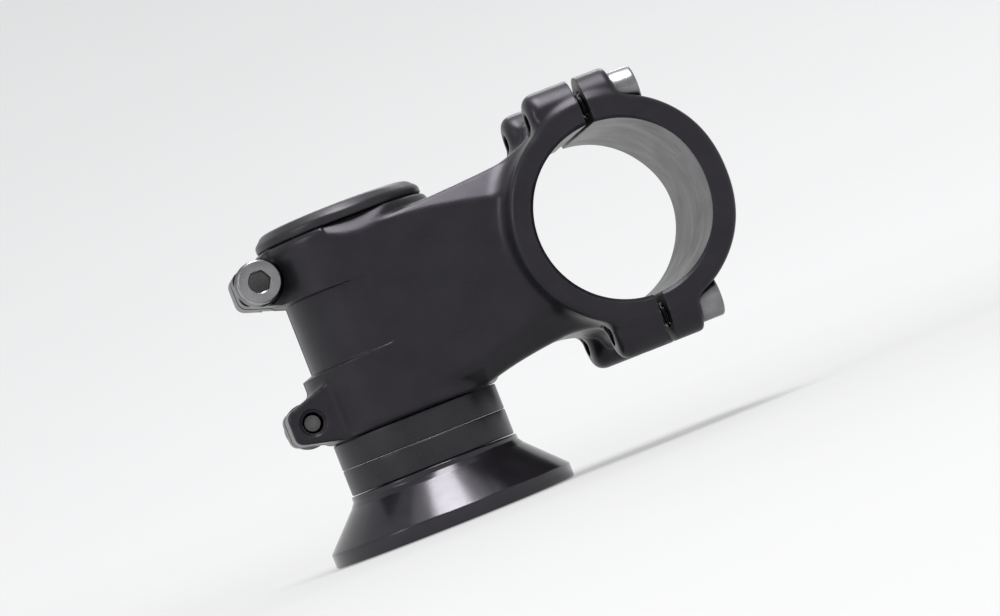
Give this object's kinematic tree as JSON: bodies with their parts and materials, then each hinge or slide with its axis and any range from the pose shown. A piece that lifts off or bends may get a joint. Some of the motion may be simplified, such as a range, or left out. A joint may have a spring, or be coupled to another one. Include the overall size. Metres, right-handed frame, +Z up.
{
  "type": "handlebar stem",
  "caption": "Short threadless bicycle stem that clamps a handlebar to a steerer tube, with its pinch and faceplate bolts, top cap, star nut, spacers and headset cover.",
  "frame": {"origin": "on the steerer tube's axis, at the underside of the headset cover", "axes": "+Z up along the steerer tube's axis, +X forward from the steerer to the handlebar, +Y to the rider's left along the handlebar"},
  "size_m": [0.0973, 0.05, 0.0721],
  "materials": {
    "stem_finish": "satin black anodised over a fine blasted surface",
    "cover_finish": "polished and anodised gloss black",
    "turned_finish": "turned and anodised semi-gloss black",
    "bolt_finish": "dark nickel plated steel",
    "ring_finish": "bare machined",
    "sleeve_finish": "zinc plated",
    "leaf_finish": "spring steel, zinc plated",
    "seal_rubber": "matt black"
  },
  "bodies": {
    "steerer_stack": {"headset_cover": "cover_finish", "steerer_seal": "seal_rubber", "compression_ring": "ring_finish", "spacer_lower": "turned_finish", "spacer_upper": "turned_finish", "star_nut_sleeve": "sleeve_finish", "star_nut_lower_leaf": "leaf_finish", "star_nut_upper_leaf": "leaf_finish"},
    "stem": {"stem_body": "stem_finish"},
    "faceplate": {"faceplate": "stem_finish"},
    "faceplate_washer_upper_left": {"faceplate_washer_upper_left": "bolt_finish"},
    "faceplate_bolt_upper_left": {"faceplate_bolt_upper_left": "bolt_finish"},
    "faceplate_washer_upper_right": {"faceplate_washer_upper_right": "bolt_finish"},
    "faceplate_bolt_upper_right": {"faceplate_bolt_upper_right": "bolt_finish"},
    "faceplate_washer_lower_left": {"faceplate_washer_lower_left": "bolt_finish"},
    "faceplate_bolt_lower_left": {"faceplate_bolt_lower_left": "bolt_finish"},
    "faceplate_washer_lower_right": {"faceplate_washer_lower_right": "bolt_finish"},
    "faceplate_bolt_lower_right": {"faceplate_bolt_lower_right": "bolt_finish"},
    "steerer_washer_upper": {"steerer_washer_upper": "bolt_finish"},
    "steerer_bolt_upper": {"steerer_bolt_upper": "bolt_finish"},
    "steerer_washer_lower": {"steerer_washer_lower": "bolt_finish"},
    "steerer_bolt_lower": {"steerer_bolt_lower": "bolt_finish"},
    "top_cap": {"top_cap": "turned_finish"},
    "top_cap_bolt": {"top_cap_bolt": "bolt_finish"}
  },
  "joints": [
    {"name": "stem_align", "type": "hinge", "parent": "steerer_stack", "child": "stem", "pos_m": [0, 0, 0.04275], "axis": [0, 0, 1], "range_deg": [-90, 90]},
    {"name": "faceplate_lift", "type": "slide", "parent": "stem", "child": "faceplate", "axis": [1, 0, 0], "range_m": [0, 0.03]},
    {"name": "faceplate_bolt_upper_left_travel", "type": "slide", "parent": "faceplate", "child": "faceplate_washer_upper_left", "axis": [1, 0, 0], "range_m": [0, 0.0096]},
    {"name": "faceplate_bolt_upper_left_turn", "type": "hinge", "parent": "faceplate_washer_upper_left", "child": "faceplate_bolt_upper_left", "pos_m": [0.057, 0.0166, 0.06655], "axis": [1, 0, 0], "range_deg": [0, 4320]},
    {"name": "faceplate_bolt_upper_right_travel", "type": "slide", "parent": "faceplate", "child": "faceplate_washer_upper_right", "axis": [1, 0, 0], "range_m": [0, 0.0096]},
    {"name": "faceplate_bolt_upper_right_turn", "type": "hinge", "parent": "faceplate_washer_upper_right", "child": "faceplate_bolt_upper_right", "pos_m": [0.057, -0.0166, 0.06655], "axis": [1, 0, 0], "range_deg": [0, 4320]},
    {"name": "faceplate_bolt_lower_left_travel", "type": "slide", "parent": "faceplate", "child": "faceplate_washer_lower_left", "axis": [1, 0, 0], "range_m": [0, 0.0096]},
    {"name": "faceplate_bolt_lower_left_turn", "type": "hinge", "parent": "faceplate_washer_lower_left", "child": "faceplate_bolt_lower_left", "pos_m": [0.057, 0.0166, 0.02295], "axis": [1, 0, 0], "range_deg": [0, 4320]},
    {"name": "faceplate_bolt_lower_right_travel", "type": "slide", "parent": "faceplate", "child": "faceplate_washer_lower_right", "axis": [1, 0, 0], "range_m": [0, 0.0096]},
    {"name": "faceplate_bolt_lower_right_turn", "type": "hinge", "parent": "faceplate_washer_lower_right", "child": "faceplate_bolt_lower_right", "pos_m": [0.057, -0.0166, 0.02295], "axis": [1, 0, 0], "range_deg": [0, 4320]},
    {"name": "steerer_bolt_upper_travel", "type": "slide", "parent": "stem", "child": "steerer_washer_upper", "axis": [0, -1, 0], "range_m": [0, 0.008]},
    {"name": "steerer_bolt_upper_turn", "type": "hinge", "parent": "steerer_washer_upper", "child": "steerer_bolt_upper", "pos_m": [-0.0198, -0.0085, 0.05725], "axis": [0, -1, 0], "range_deg": [0, 3600]},
    {"name": "steerer_bolt_lower_travel", "type": "slide", "parent": "stem", "child": "steerer_washer_lower", "axis": [0, 1, 0], "range_m": [0, 0.008]},
    {"name": "steerer_bolt_lower_turn", "type": "hinge", "parent": "steerer_washer_lower", "child": "steerer_bolt_lower", "pos_m": [-0.0198, 0.0085, 0.02825], "axis": [0, 1, 0], "range_deg": [0, 3600]},
    {"name": "top_cap_lift", "type": "slide", "parent": "steerer_stack", "child": "top_cap", "axis": [0, 0, 1], "range_m": [0, 0.015]},
    {"name": "top_cap_bolt_turn", "type": "hinge", "parent": "top_cap", "child": "top_cap_bolt", "pos_m": [0, 0, 0.06195], "axis": [0, 0, 1], "range_deg": [0, 5400]}
  ],
  "couplings": [
    {"joint": "faceplate_bolt_upper_left_turn", "follows": "faceplate_bolt_upper_left_travel", "rad_per_m": 7854},
    {"joint": "faceplate_bolt_upper_right_turn", "follows": "faceplate_bolt_upper_right_travel", "rad_per_m": 7854},
    {"joint": "faceplate_bolt_lower_left_turn", "follows": "faceplate_bolt_lower_left_travel", "rad_per_m": 7854},
    {"joint": "faceplate_bolt_lower_right_turn", "follows": "faceplate_bolt_lower_right_travel", "rad_per_m": 7854},
    {"joint": "steerer_bolt_upper_turn", "follows": "steerer_bolt_upper_travel", "rad_per_m": 7854},
    {"joint": "steerer_bolt_lower_turn", "follows": "steerer_bolt_lower_travel", "rad_per_m": 7854},
    {"joint": "top_cap_bolt_turn", "follows": "top_cap_lift", "rad_per_m": 6283.2}
  ]
}
